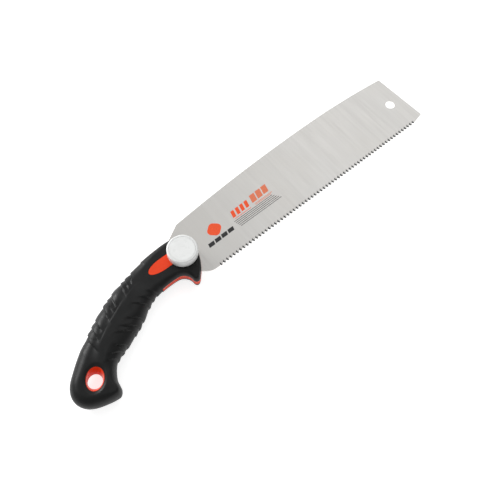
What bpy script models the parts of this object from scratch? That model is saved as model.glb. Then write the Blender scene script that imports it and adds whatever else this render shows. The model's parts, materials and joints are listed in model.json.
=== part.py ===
"""Pull saw with a pistol grip: a thin steel blade clamped between the two cheeks of the handle.

Frame while modelling: the blade's pivot is at X = Y = 0 and its middle plane is Z = 0. +X runs along the
blade to its tip, -Y is the toothed side and +Z the side of the clamping knob. The last step moves the whole
saw so that it lies on Z = 0, rear side down, with the centre of its footprint at the origin.
"""

from math import acos, asin, ceil, cos, pi, radians, sin, sqrt, tan, tau

import bmesh
import bpy
from mathutils import Matrix, Vector
from mathutils.geometry import delaunay_2d_cdt, tessellate_polygon

MM = 0.001

# Fits and clearances
FACE_GAP = 0.1 * MM  # between flat faces that bear on each other
FIT_GAP = 0.3 * MM  # between a piece and the pocket that it sits in
TURN_GAP = 0.1 * MM  # radial clearance of what turns on a pin
SCREW_GAP = 0.3 * MM  # radial clearance of the clamp screw's thread
OVERCUT = 1.0 * MM  # how far a cutter runs past the face that it opens

# Blade
BLADE_LENGTH = 282.6 * MM  # from the pivot to the foot of the tip
BLADE_THICKNESS = 0.9 * MM
TOOTH_PITCH = 3.8 * MM
TOOTH_DEPTH = 2.3 * MM
TOOTH_LEAN = 0.38  # where the tip stands along the pitch: the teeth lean to the handle and cut on the pull
TOOTH_TIP_Y = -28.0 * MM
FIRST_TOOTH_X = 20.6 * MM
TIP_LAND = 11.2 * MM  # least length of the plain corner between the last gullet and the foot of the tip
HEEL = (12.0 * MM, -27.2 * MM)
HEEL_END = (-1.5 * MM, -17.0 * MM)  # where the heel's chamfer meets the tail
SHOULDER = (14.7 * MM, 29.9 * MM)
SHOULDER_END = (-3.2 * MM, 19.7 * MM)  # where the shoulder's chamfer meets the tail
BACK_CREST = (BLADE_LENGTH - 96.6 * MM, 38.0 * MM)
TIP_TOP = (BLADE_LENGTH - 3.1 * MM, 33.0 * MM)
TIP_FOOT = (BLADE_LENGTH, -24.6 * MM)
BACK_STEPS = 7
SHOULDER_RADIUS = 3.5 * MM
HEEL_RADIUS = 14.0 * MM
TIP_RADIUS = 1.8 * MM
TAIL_WALL = 2.9 * MM  # steel outside the stop pin's slot
TAIL_START = radians(125)
TAIL_END = radians(245)
TIP_HOLE = (BLADE_LENGTH - 16.3 * MM, 3.2 * MM)
TIP_HOLE_RADIUS = 4.75 * MM

# Travel of the blade, and the pin that stops it at each end
BLADE_LOWEST = radians(-15)
BLADE_HIGHEST = radians(90)
STOP_PIN_RADIUS = 1.5 * MM
STOP_PIN_LAND = 0.6 * MM  # between the pin and the thrust washers
STOP_PIN_ANGLE = radians(210)
STOP_PIN_REACH = 4.5 * MM  # half of its length

# Handle: half thicknesses along its length, from the blade's middle plane
HEAD_HALF = 8.5 * MM
GRIP_HALF = 12.5 * MM
BUTT_HALF = 9.8 * MM
HEAD_END_X = -38.0 * MM
GRIP_START_X = -66.0 * MM
GRIP_END_X = -94.0 * MM
BUTT_START_X = -122.0 * MM
SKIN_THICKNESS = 2.0 * MM
SKIN_GAP = 0.4 * MM  # between the skin and the core
PARTING_GAP = 0.15 * MM  # each half of the handle stops this far from the middle plane
CORE_WALL = 2.6 * MM
LEAST_ROUNDING = 0.4 * MM

# Head: the slot for the blade, and the core's rim that stays bare beside it
SLOT_GAP = 0.15 * MM  # on each side of the blade
SLOT_REACH = 36.0 * MM  # from the pivot
RIM_HALF = 3.2 * MM
RIM_END_X = -33.0 * MM

# Boss under the knob, and the window that shows the core behind it
BOSS_RADIUS = 9.5 * MM
WINDOW_CENTRE = (-20.0 * MM, 2.6 * MM)
WINDOW_NOSE = 15.0 * MM  # from the centre back to the window's tip
WINDOW_HALF = 5.6 * MM
WINDOW_FRONT_X = -3.0 * MM  # inside the boss

# Hanging hole
EYE = (-124.7 * MM, -44.2 * MM)
EYE_THROAT = 6.3 * MM
EYE_MOUTH = 9.0 * MM
EYE_WALL = 0.8 * MM
EYE_SINK = 0.8 * MM  # how far its lip lies below the skin's face

# Pivot
SCREW_RADIUS = 3.0 * MM
THREAD_PITCH = 1.0 * MM
THREAD_DEPTH = 0.5 * MM
BUSH_GAP = 0.4 * MM  # between the screw and the bush
BUSH_WALL = 1.6 * MM
BUSH_TOP = 5.0 * MM
THRUST_FACE = 2.5 * MM  # width of a thrust washer outside the bush
THRUST_THICKNESS = 0.5 * MM
NUT_FLATS = 10.0 * MM
NUT_HEIGHT = 4.0 * MM
NUT_FLOOR = 1.5 * MM  # plastic between the nut and the bush
COVER_RADIUS = 8.0 * MM
COVER_THICKNESS = 1.0 * MM

# Knob
KNOB_RADIUS = 13.9 * MM
KNOB_LIFT = 0.4 * MM  # above the head's face when tight
KNOB_BEVEL = 1.0 * MM
KNOB_FLOOR = 1.4 * MM  # plastic under the screw's head
KNOB_RIM = 2.3 * MM  # round the cap
CAP_THICKNESS = 1.3 * MM
CAP_GAP = 0.2 * MM  # between the screw's head and the cap
HEX_FLATS = 10.0 * MM
HEX_HEIGHT = 3.6 * MM
WASHER_RADIUS = 9.0 * MM
WASHER_THICKNESS = 1.0 * MM
SPRING_RADIUS = 6.2 * MM
SPRING_THICKNESS = 0.6 * MM
SPRING_HEIGHT = 1.2 * MM

# Screws that hold the two shells together, driven from the rear
SHELL_SCREWS = [(-41.5, 0.5), (-58.0, -5.0), (-78.0, -14.5), (-99.0, -24.0), (-136.0, -53.5)]  # mm
SHELL_SCREW_RADIUS = 1.4 * MM
SHELL_HEAD_RADIUS = 2.7 * MM
SHELL_HEAD_HEIGHT = 2.0 * MM
SHELL_HEAD_SINK = 1.5 * MM  # below the rear skin
SHELL_SCREW_BITE = 6.0 * MM  # into the front shell
SHELL_SCREW_BOSS = 2.0 * MM  # plastic round each screw
SHELL_ROOF = 1.95 * MM  # plastic above the screws' bosses
SHELL_TIP_RADIUS = 0.5 * MM
RECESS_SHARE = (0.6, 0.14)  # half length and half width of the cross recess, as shares of the head's radius

# Handle outline in mm, counter-clockwise from the front of the head: x, y and the edge's rounding.
OUTLINE = [
    (13.4, 1.0, 3.0), (12.0, 8.6, 3.0), (7.4, 15.4, 3.5), (-0.8, 19.3, 4.5), (-20.0, 19.6, 6.0),
    (-38.0, 17.7, 8.5), (-58.0, 14.0, 11.5), (-78.0, 7.7, 12.0), (-98.0, -2.0, 12.0), (-118.0, -14.0, 11.5),
    (-134.0, -26.2, 10.0), (-143.4, -35.2, 9.0), (-147.6, -43.6, 8.5), (-147.2, -51.5, 8.5),
    (-143.0, -58.2, 8.5), (-136.8, -62.6, 8.0), (-128.0, -65.8, 7.0), (-119.7, -67.6, 4.8),
    (-114.9, -67.2, 3.6), (-111.7, -64.0, 3.6), (-110.8, -60.0, 4.5), (-109.9, -55.4, 6.0),
    (-105.6, -47.9, 8.0), (-98.4, -42.2, 10.5), (-84.8, -37.0, 12.0), (-70.6, -31.4, 12.0),
    (-57.5, -24.1, 11.0), (-46.6, -18.0, 9.0), (-36.2, -14.9, 7.0), (-22.0, -13.9, 4.5),
    (-13.2, -14.9, 3.4), (-9.0, -18.5, 3.0), (-7.5, -22.5, 2.7), (-7.3, -25.4, 2.6), (-6.2, -27.5, 2.6),
    (-4.2, -28.3, 2.6), (-2.1, -27.6, 2.6), (1.0, -24.6, 3.0), (5.2, -19.8, 3.2), (9.5, -13.0, 3.2),
    (12.4, -6.2, 3.0),
]
OUTLINE_STEP = 8.0 * MM
PATCH_STEP = 14.0 * MM
ROUND_SIDES = 32
SMALL_SIDES = 16
SMALL_RADIUS = 3.5 * MM
EDGE_LEVELS = 4
RIM_STEP = radians(6)  # along the core's rounded edge, above the rim's height

BLADE_HALF = BLADE_THICKNESS / 2
SLOT_HALF = BLADE_HALF + SLOT_GAP
TOOTH_COUNT = int((BLADE_LENGTH - TIP_LAND - FIRST_TOOTH_X) / TOOTH_PITCH)
BUSH_INNER = SCREW_RADIUS + BUSH_GAP
BUSH_RADIUS = BUSH_INNER + BUSH_WALL
THRUST_RADIUS = BUSH_RADIUS + THRUST_FACE
STOP_PIN_ORBIT = THRUST_RADIUS + STOP_PIN_LAND + STOP_PIN_RADIUS
TAIL_RADIUS = STOP_PIN_ORBIT + STOP_PIN_RADIUS + TAIL_WALL
SKIN_BASE = RIM_HALF + FIT_GAP
CORE_INSET = SKIN_THICKNESS + SKIN_GAP
THRUST_BASE = BLADE_HALF + FACE_GAP
THRUST_SEAT = THRUST_BASE + THRUST_THICKNESS + FACE_GAP
SCREW_BORE = SCREW_RADIUS + SCREW_GAP
WASHER_BASE = HEAD_HALF + FACE_GAP
SPRING_BASE = WASHER_BASE + WASHER_THICKNESS + FACE_GAP
KNOB_BASE = HEAD_HALF + KNOB_LIFT
KNOB_CEILING = SPRING_BASE + SPRING_HEIGHT + FACE_GAP  # of the hollow under the knob
HEX_BASE = KNOB_CEILING + KNOB_FLOOR + FACE_GAP
HEX_TOP = HEX_BASE + HEX_HEIGHT
CAP_BASE = HEX_TOP + CAP_GAP
CAP_RADIUS = KNOB_RADIUS - KNOB_RIM
KNOB_TOP = CAP_BASE + CAP_THICKNESS
COVER_FACE = -HEAD_HALF
NUT_REAR = COVER_FACE + COVER_THICKNESS + FACE_GAP
NUT_FRONT = NUT_REAR + NUT_HEIGHT
BUSH_BASE = NUT_FRONT + FACE_GAP + NUT_FLOOR + FACE_GAP

for old in list(bpy.data.objects):
    bpy.data.objects.remove(old, do_unlink=True)

saw = bpy.data.objects.new("saw", None)
bpy.context.scene.collection.objects.link(saw)


# ---------------------------------------------------------------- outlines


def smooth(low, high, value):
    """0 before low, 1 after high, and a smooth step between them."""
    t = max(0.0, min(1.0, (value - low) / (high - low)))
    return t * t * (3 - 2 * t)


def arc(radius, start, end, count, centre=(0.0, 0.0)):
    """Points along an arc, both ends included."""
    turns = [start + (end - start) * i / count for i in range(count + 1)]
    return [(centre[0] + radius * cos(a), centre[1] + radius * sin(a)) for a in turns]


def circle(radius, centre=(0.0, 0.0), sides=None):
    """Points round a circle, fewer on a small one unless sides says how many."""
    return arc(radius, 0, tau, sides or sides_of(radius), centre)[:-1]


def sides_of(radius):
    return ROUND_SIDES if radius > SMALL_RADIUS else SMALL_SIDES


def hexagon(flats):
    return arc(flats / sqrt(3), 0, tau, 6)[:-1]


def rounded(corners, steps=4):
    """A closed outline from corners (x, y, radius). A corner of radius 0 stays sharp."""
    points = []
    for i, (x, y, radius) in enumerate(corners):
        here = Vector((x, y))
        if radius == 0:
            points.append((x, y))
            continue
        back = (Vector(corners[i - 1][:2]) - here).normalized()
        on = (Vector(corners[(i + 1) % len(corners)][:2]) - here).normalized()
        half = acos(back.dot(on)) / 2
        centre = here + (back + on).normalized() * (radius / sin(half))
        first = here + back * (radius / tan(half)) - centre
        last = here + on * (radius / tan(half)) - centre
        turn = first.angle_signed(last)
        for k in range(steps + 1):
            points.append(tuple(centre + Matrix.Rotation(-turn * k / steps, 2) @ first))
    return points


# ---------------------------------------------------------------- solids


def new_object(name, mesh, at=(0, 0, 0)):
    made = bpy.data.objects.new(name, mesh)
    bpy.context.scene.collection.objects.link(made)
    made.parent = saw
    made.location = at
    return made


def mesh_from(name, vertices, faces):
    """A closed mesh with its faces pointing out."""
    body = bmesh.new()
    made = [body.verts.new(v) for v in vertices]
    for face in faces:
        body.faces.new([made[i] for i in face])
    bmesh.ops.recalc_face_normals(body, faces=body.faces)
    mesh = bpy.data.meshes.new(name)
    body.to_mesh(mesh)
    body.free()
    mesh.shade_smooth()
    mesh.set_sharp_from_angle(angle=radians(32))
    return mesh


def stacked(name, rings):
    """A solid through rings of points, one above the other, with flat ends."""
    count = len(rings[0])
    vertices = [point for ring in rings for point in ring]
    last = count * (len(rings) - 1)
    faces = [list(range(count)), list(range(last, last + count))]
    for low in range(0, last, count):
        for i in range(count):
            j = (i + 1) % count
            faces.append([low + i, low + j, low + count + j, low + count + i])
    return mesh_from(name, vertices, faces)


def prism(name, outline, bottom, top):
    return stacked(name, [[(x, y, z) for x, y in outline] for z in (bottom, top)])


def shaft(name, profile, centre=(0.0, 0.0)):
    """A solid round bar along Z from its (radius, z) steps, bottom to top."""
    sides = sides_of(max(r for r, _ in profile))
    return stacked(name, [[(x, y, z) for x, y in circle(r, centre, sides)] for r, z in profile])


def ring(name, profile):
    """A solid of revolution about Z from a closed (radius, z) profile that stays off the axis."""
    sides = len(profile)
    turns = [tau * a / ROUND_SIDES for a in range(ROUND_SIDES)]
    vertices = [(r * cos(a), r * sin(a), z) for a in turns for r, z in profile]
    faces = []
    for a in range(ROUND_SIDES):
        here, there = a * sides, (a + 1) % ROUND_SIDES * sides
        for k in range(sides):
            on = (k + 1) % sides
            faces.append([here + k, there + k, there + on, here + on])
    return mesh_from(name, vertices, faces)


def tube(name, inner, outer, bottom, top):
    return ring(name, [(inner, bottom), (outer, bottom), (outer, top), (inner, top)])


def operand(mesh):
    """An object that only serves a Boolean."""
    made = new_object(mesh.name, mesh)
    made.hide_render = True
    made.display_type = "WIRE"
    return made


MANY_BORES = "core_"  # the exact solver leaves open edges where this many bores meet


def boolean(target, tool, operation):
    modifier = target.modifiers.new(tool.name, "BOOLEAN")
    modifier.operation = operation
    modifier.solver = "MANIFOLD" if target.name.startswith(MANY_BORES) else "EXACT"
    modifier.object = tool


def cut(target, *meshes):
    for mesh in meshes:
        boolean(target, operand(mesh), "DIFFERENCE")


def join(target, *meshes):
    for mesh in meshes:
        boolean(target, operand(mesh), "UNION")


def paint(target, name, colour, roughness, metallic=0.0):
    """Gives an object the Principled material of that name."""
    material = bpy.data.materials.get(name)
    if material is None:
        material = bpy.data.materials.new(name)
        material.use_nodes = True
        shader = material.node_tree.nodes["Principled BSDF"]
        shader.inputs["Base Color"].default_value = (*colour, 1.0)
        shader.inputs["Roughness"].default_value = roughness
        shader.inputs["Metallic"].default_value = metallic
    target.data.materials.append(material)


def steel(name, mesh, at=(0, 0, 0)):
    made = new_object(name, mesh, at)
    paint(made, "zinc_plated_steel", (0.62, 0.62, 0.60), 0.35, 1.0)
    return made


# ---------------------------------------------------------------- the handle's surface


def smooth_outline():
    """Points (x, y, rounding) along a closed centripetal Catmull-Rom curve through OUTLINE, in metres."""
    control = [Vector(p) * MM for p in OUTLINE]
    count = len(control)
    points = []
    for i in range(count):
        p0, p1, p2, p3 = (control[(i + k) % count] for k in (-1, 0, 1, 2))
        t1 = (p1 - p0).xy.length ** 0.5
        t2 = t1 + (p2 - p1).xy.length ** 0.5
        t3 = t2 + (p3 - p2).xy.length ** 0.5
        pieces = max(1, ceil((p2 - p1).xy.length / OUTLINE_STEP))
        for k in range(pieces):
            t = t1 + (t2 - t1) * k / pieces
            a1 = p0.lerp(p1, t / t1)
            a2 = p1.lerp(p2, (t - t1) / (t2 - t1))
            a3 = p2.lerp(p3, (t - t2) / (t3 - t2))
            b1 = a1.lerp(a2, t / t2)
            b2 = a2.lerp(a3, (t - t1) / (t3 - t1))
            points.append(b1.lerp(b2, (t - t1) / (t2 - t1)))
    return points


EDGE = smooth_outline()
EDGE_COUNT = len(EDGE)


def half_thickness(x):
    """Half the handle's thickness at x: a thin head, a palm swell and a thinner butt."""
    swell = (GRIP_HALF - HEAD_HALF) * smooth(-HEAD_END_X, -GRIP_START_X, -x)
    return HEAD_HALF + swell - (GRIP_HALF - BUTT_HALF) * smooth(-GRIP_END_X, -BUTT_START_X, -x)


def edge_point(i, inset, base, angle):
    """A point on the rounded edge, inset below the outer face: angle 0 is at base, pi / 2 at the crown."""
    along = EDGE[(i + 1) % EDGE_COUNT].xy - EDGE[i - 1].xy
    inward = Vector((-along.y, along.x)).normalized()
    rounding = max(EDGE[i].z - inset, LEAST_ROUNDING)
    spot = EDGE[i].xy + inward * (inset + rounding * (1 - cos(angle)))
    crest = half_thickness((EDGE[i].xy + inward * (inset + rounding)).x) - inset
    return Vector((*spot, base + (crest - base) * sin(angle)))


def is_bare(i):
    """True where the core's rim shows beside the blade's slot."""
    return EDGE[i % EDGE_COUNT].x > RIM_END_X


def skin_base(i):
    """Where the skin starts: above the rim, and at the parting plane behind it."""
    return SKIN_BASE if any(is_bare(i + k) for k in (-1, 0, 1)) else PARTING_GAP


def inside(spot, polygon):
    hit = False
    for i, a in enumerate(polygon):
        b = polygon[i - 1]
        if (a.y > spot.y) != (b.y > spot.y) and spot.x < (b.x - a.x) * (spot.y - a.y) / (b.y - a.y) + a.x:
            hit = not hit
    return hit


def crown(loop, inset):
    """The vertices and triangles of a patch that closes the last edge loop and follows half_thickness."""
    border = [p.xy for p in loop]
    low_x, low_y = min(p.x for p in border), min(p.y for p in border)
    columns = int((max(p.x for p in border) - low_x) / PATCH_STEP)
    rows = int((max(p.y for p in border) - low_y) / PATCH_STEP)
    grid = []
    for column in range(1, columns + 1):
        for row in range(1, rows + 1):
            spot = Vector((low_x + column * PATCH_STEP, low_y + row * PATCH_STEP))
            if inside(spot, border) and min((spot - p).length for p in border) > PATCH_STEP / 2:
                grid.append(spot)
    count = len(border)
    rim = [(i, (i + 1) % count) for i in range(count)]
    flat, _, faces, *_ = delaunay_2d_cdt(border + grid, rim, [list(range(count))], 1, 1e-8)
    points = list(loop)
    points += [Vector((*p, half_thickness(p.x) - inset)) for p in flat[count:]]
    return points, faces


class Shell:
    """Gathers the loops and patches of one half of the handle; side is 1 in front and -1 behind."""

    def __init__(self, side):
        self.side = side
        self.vertices = []
        self.faces = []

    def add(self, points):
        start = len(self.vertices)
        self.vertices += [(p.x, p.y, p.z * self.side) for p in points]
        return start

    def bridge(self, low, high, count):
        for i in range(count):
            j = (i + 1) % count
            self.faces.append([low + i, low + j, high + j, high + i])

    def dome(self, loops, inset):
        """Edge loops from the bottom up, closed by the crown. Returns the first loop's start."""
        starts = [self.add(loop) for loop in loops[:-1]]
        points, faces = crown(loops[-1], inset)
        starts.append(self.add(points))
        self.faces += [[starts[-1] + i for i in face] for face in faces]
        for low, high in zip(starts, starts[1:]):
            self.bridge(low, high, len(loops[0]))
        return starts[0]

    def floor(self, start, count):
        """Closes the loop at start with a flat patch."""
        border = [Vector((*self.vertices[start + i][:2], 0)) for i in range(count)]
        self.faces += [[start + i for i in face] for face in tessellate_polygon([border])]

    def mesh(self, name):
        return mesh_from(name, self.vertices, self.faces)


def edge_loops(inset, base_of, chosen=range(EDGE_COUNT)):
    """Loops up the rounded edge, through the chosen outline points."""
    turns = [pi / 2 * k / EDGE_LEVELS for k in range(EDGE_LEVELS + 1)]
    return [[edge_point(i, inset, base_of(i), a) for i in chosen] for a in turns]


def skin_mesh(name, side):
    shell = Shell(side)
    outer = shell.dome(edge_loops(0.0, skin_base), 0.0)
    inner = shell.dome(edge_loops(SKIN_THICKNESS, skin_base), SKIN_THICKNESS)
    shell.bridge(outer, inner, EDGE_COUNT)
    return shell.mesh(name)


def core_mesh(name, side):
    """A core half, not yet hollow: a dome under the skin, on a rim that comes out at the head's edge."""
    loops = [[] for _ in range(EDGE_LEVELS + 3)]
    for i in range(EDGE_COUNT):
        bare = is_bare(i)
        base = RIM_HALF if bare else PARTING_GAP
        top = edge_point(i, CORE_INSET, base, pi / 2).z
        rise = asin((RIM_HALF - base) / (top - base))
        foot = EDGE[i] if bare else edge_point(i, CORE_INSET, base, 0.0)
        rim = EDGE[i] if bare else edge_point(i, CORE_INSET, base, rise)
        loops[0].append(Vector((foot.x, foot.y, PARTING_GAP)))
        loops[1].append(Vector((rim.x, rim.y, RIM_HALF)))
        start = rise if bare else rise + RIM_STEP
        for k in range(EDGE_LEVELS + 1):
            turn = start + (pi / 2 - start) * k / EDGE_LEVELS
            loops[k + 2].append(edge_point(i, CORE_INSET, base, turn))
    shell = Shell(side)
    shell.floor(shell.dome(loops, CORE_INSET), EDGE_COUNT)
    return shell.mesh(name)


def cavity_mesh(name, side):
    """The hollow of a core half, open at the parting plane. It passes by the head and the toe's bend."""
    inset = CORE_INSET + CORE_WALL
    chosen = [i for i, p in enumerate(EDGE) if p.x < -SLOT_REACH - CORE_WALL and p.z > inset]
    shell = Shell(side)
    shell.floor(shell.dome(edge_loops(inset, lambda i: -OVERCUT, chosen), inset), len(chosen))
    return shell.mesh(name)


# ---------------------------------------------------------------- blade


def back_edge():
    """The convex back between the tip and the shoulder: two parabolas that meet at the crest."""
    near_tip = [(TIP_TOP, 1 - k / BACK_STEPS) for k in range(1, BACK_STEPS + 1)]
    near_shoulder = [(SHOULDER, k / BACK_STEPS) for k in range(1, BACK_STEPS)]
    points = []
    for end, t in near_tip + near_shoulder:
        x = BACK_CREST[0] + (end[0] - BACK_CREST[0]) * t
        points.append((x, BACK_CREST[1] + (end[1] - BACK_CREST[1]) * t * t))
    return points


def teeth():
    """Gullets and tips. The last tip is where the blade's plain corner starts."""
    points = []
    for k in range(TOOTH_COUNT):
        gullet = FIRST_TOOTH_X + k * TOOTH_PITCH
        points.append((gullet, TOOTH_TIP_Y + TOOTH_DEPTH))
        points.append((gullet + TOOTH_LEAN * TOOTH_PITCH, TOOTH_TIP_Y))
    return points


def sharp(points):
    return [(x, y, 0) for x, y in points]


def blade_outline():
    tail = arc(TAIL_RADIUS, TAIL_START, TAIL_END, 12)
    corners = sharp(tail + [HEEL_END]) + [(*HEEL, HEEL_RADIUS), (FIRST_TOOTH_X, HEEL[1], 0)]
    corners += sharp(teeth()) + [(*TIP_FOOT, TIP_RADIUS), (*TIP_TOP, TIP_RADIUS)]
    corners += sharp(back_edge()) + [(*SHOULDER, SHOULDER_RADIUS), (*SHOULDER_END, 0)]
    return rounded(corners)


def on_orbit(angle):
    """The point at that angle on the circle that holds the stop pin."""
    return STOP_PIN_ORBIT * cos(angle), STOP_PIN_ORBIT * sin(angle)


def stop_slot():
    """The curved slot in the tail: the stop pin meets its ends at the ends of the blade's travel."""
    width = STOP_PIN_RADIUS + FACE_GAP
    low, high = STOP_PIN_ANGLE - BLADE_HIGHEST, STOP_PIN_ANGLE - BLADE_LOWEST
    outline = arc(STOP_PIN_ORBIT + width, low, high, 16)
    outline += arc(width, high, high + pi, 6, on_orbit(high))[1:-1]
    outline += arc(STOP_PIN_ORBIT - width, high, low, 16)
    outline += arc(width, low + pi, low + tau, 6, on_orbit(low))[1:-1]
    return outline


def through_blade(name, outline):
    return prism(name, outline, -BLADE_THICKNESS, BLADE_THICKNESS)


def build_blade():
    blade = new_object("blade", prism("blade", blade_outline(), -BLADE_HALF, BLADE_HALF))
    paint(blade, "saw_steel", (0.60, 0.60, 0.58), 0.38, 1.0)
    cut(
        blade,
        through_blade("blade_pivot_hole", circle(BUSH_RADIUS + TURN_GAP)),
        through_blade("blade_stop_slot", stop_slot()),
        through_blade("blade_tip_hole", circle(TIP_HOLE_RADIUS, centre=TIP_HOLE)),
    )


# ---------------------------------------------------------------- handle


def window_outline(grow=0.0):
    """The core's raised window: half an ellipse behind, and straight sides into the boss."""
    x, y = WINDOW_CENTRE
    half, nose = WINDOW_HALF + grow, WINDOW_NOSE + grow
    turns = [pi / 2 + pi * k / 16 for k in range(17)]
    back = [(x + nose * cos(a), y + half * sin(a)) for a in turns]
    return back + [(WINDOW_FRONT_X, y - half), (WINDOW_FRONT_X, y + half)]


def eye_height():
    """Where the hanging hole's lip ends, above the middle plane."""
    return half_thickness(EYE[0]) - EYE_SINK


def eye_cutter(name, side):
    """The hanging hole in one half: narrow at the middle plane and flared to its mouth."""
    height = eye_height()
    rings = [(EYE_THROAT, -OVERCUT), (EYE_THROAT, PARTING_GAP)]
    for t in (0.35, 0.7, 1.0):
        rings.append((EYE_THROAT + (EYE_MOUTH - EYE_THROAT) * t**1.8, height * t))
    rings.append((EYE_MOUTH, height + OVERCUT))
    return shaft(name, [(r, z * side) for r, z in rings], EYE)


def screw_spots():
    return [(x * MM, y * MM) for x, y in SHELL_SCREWS]


def build_core(name, side, raised=()):
    """A core half: a hollow shell with a solid head, the boss, the hanging hole's wall and screw bosses.

    raised holds the meshes of what else stands on it, which the bores then run through.
    """

    def rod(label, radius, bottom, top, centre=(0.0, 0.0)):
        return prism(f"{name}_{label}", circle(radius, centre), bottom * side, top * side)

    core = new_object(name, core_mesh(name, side))
    paint(core, "orange_nylon", (0.90, 0.12, 0.03), 0.42)
    cut(core, cavity_mesh(f"{name}_cavity", side))
    join(core, rod("boss", BOSS_RADIUS, RIM_HALF, HEAD_HALF))
    join(core, rod("eye_wall", EYE_MOUTH + EYE_WALL, PARTING_GAP, eye_height(), EYE))
    for i, spot in enumerate(screw_spots()):
        top = half_thickness(spot[0]) - CORE_INSET - SHELL_ROOF
        boss_radius = SHELL_SCREW_RADIUS + SHELL_SCREW_BOSS
        join(core, rod(f"screw_boss_{i}", boss_radius, PARTING_GAP, top, spot))
    join(core, *raised)
    cut(core, eye_cutter(f"{name}_eye", side))
    cut(core, rod("slot", SLOT_REACH, -OVERCUT, SLOT_HALF))
    cut(core, rod("thrust_seat", THRUST_RADIUS + TURN_GAP, -OVERCUT, THRUST_SEAT))
    cut(core, rod("screw_bore", SCREW_BORE, -OVERCUT, HEAD_HALF + OVERCUT))
    pin_bore = STOP_PIN_RADIUS + TURN_GAP
    cut(core, rod("pin_bore", pin_bore, -OVERCUT, STOP_PIN_REACH + FACE_GAP, on_orbit(STOP_PIN_ANGLE)))
    return core, rod


def build_front_core():
    window = prism("core_window", window_outline(), RIM_HALF, HEAD_HALF)
    core, rod = build_core("core_front", 1, [window])
    cut(core, rod("bush_bore", BUSH_RADIUS + TURN_GAP, -OVERCUT, BUSH_TOP + FACE_GAP))
    pilot = SHELL_SCREW_RADIUS + FACE_GAP
    for i, spot in enumerate(screw_spots()):
        cut(core, rod(f"pilot_{i}", pilot, -OVERCUT, SHELL_SCREW_BITE + FIT_GAP, spot))


def build_rear_core():
    core, rod = build_core("core_rear", -1)
    cut(core, rod("bush_bore", BUSH_RADIUS + TURN_GAP, -OVERCUT, -BUSH_BASE + FACE_GAP))
    nut = hexagon(NUT_FLATS + 2 * FACE_GAP)
    cut(core, rod("cover_seat", COVER_RADIUS + TURN_GAP, -NUT_REAR, HEAD_HALF + OVERCUT))
    cut(core, prism("core_nut_pocket", nut, -HEAD_HALF, NUT_FRONT + FACE_GAP))
    for i, spot in enumerate(screw_spots()):
        seat = head_seat(spot)
        cut(core, rod(f"head_{i}", SHELL_HEAD_RADIUS + FIT_GAP, seat - FACE_GAP, GRIP_HALF, spot))
        cut(core, rod(f"clearance_{i}", SHELL_SCREW_RADIUS + TURN_GAP, -OVERCUT, GRIP_HALF, spot))


def head_seat(spot):
    """How far a shell screw's head seat lies behind the middle plane."""
    return half_thickness(spot[0]) - SHELL_HEAD_SINK - SHELL_HEAD_HEIGHT


def build_skin(name, side):
    skin = new_object(name, skin_mesh(name, side))
    paint(skin, "black_rubber", (0.022, 0.022, 0.023), 0.62)
    deep, high = 0.0, (GRIP_HALF + OVERCUT) * side
    cut(skin, prism(f"{name}_boss_hole", circle(BOSS_RADIUS + FIT_GAP), deep, high))
    eye_hole = circle(EYE_MOUTH + EYE_WALL + FIT_GAP, centre=EYE)
    cut(skin, prism(f"{name}_eye_hole", eye_hole, deep, high))
    return skin


def build_skins():
    front = build_skin("skin_front", 1)
    cut(front, prism("skin_window", window_outline(FIT_GAP), 0.0, GRIP_HALF))
    rear = build_skin("skin_rear", -1)
    for i, spot in enumerate(screw_spots()):
        hole = circle(SHELL_HEAD_RADIUS + FIT_GAP, spot)
        cut(rear, prism(f"skin_screw_hole_{i}", hole, -GRIP_HALF - OVERCUT, 0.0))


def cross_recess():
    """A cross of two slots that meet in the middle, as one outline."""
    long, wide = (SHELL_HEAD_RADIUS * share for share in RECESS_SHARE)
    arm = [(wide, -wide), (long, -wide), (long, wide), (wide, wide)]
    quarters = [Matrix.Rotation(turn * pi / 2, 2) for turn in range(4)]
    return [tuple(quarter @ Vector(p)) for quarter in quarters for p in arm[1:]]


def build_shell_screws():
    for i, (x, y) in enumerate(screw_spots()):
        seat = -head_seat((x, y))
        face = seat - SHELL_HEAD_HEIGHT
        profile = [
            (SHELL_HEAD_RADIUS * 0.8, face),
            (SHELL_HEAD_RADIUS, face + SHELL_HEAD_HEIGHT * 0.4),
            (SHELL_HEAD_RADIUS, seat),
            (SHELL_SCREW_RADIUS, seat),
            (SHELL_SCREW_RADIUS, SHELL_SCREW_BITE - MM),
            (SHELL_TIP_RADIUS, SHELL_SCREW_BITE),
        ]
        screw = steel(f"shell_screw_{i + 1}", shaft("shell_screw", profile), (x, y, 0))
        floor = face + SHELL_HEAD_HEIGHT / 2
        recess = operand(prism("screw_recess", cross_recess(), face - OVERCUT, floor))
        recess.location = (x, y, 0)
        boolean(screw, recess, "DIFFERENCE")


# ---------------------------------------------------------------- pivot and knob


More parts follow.
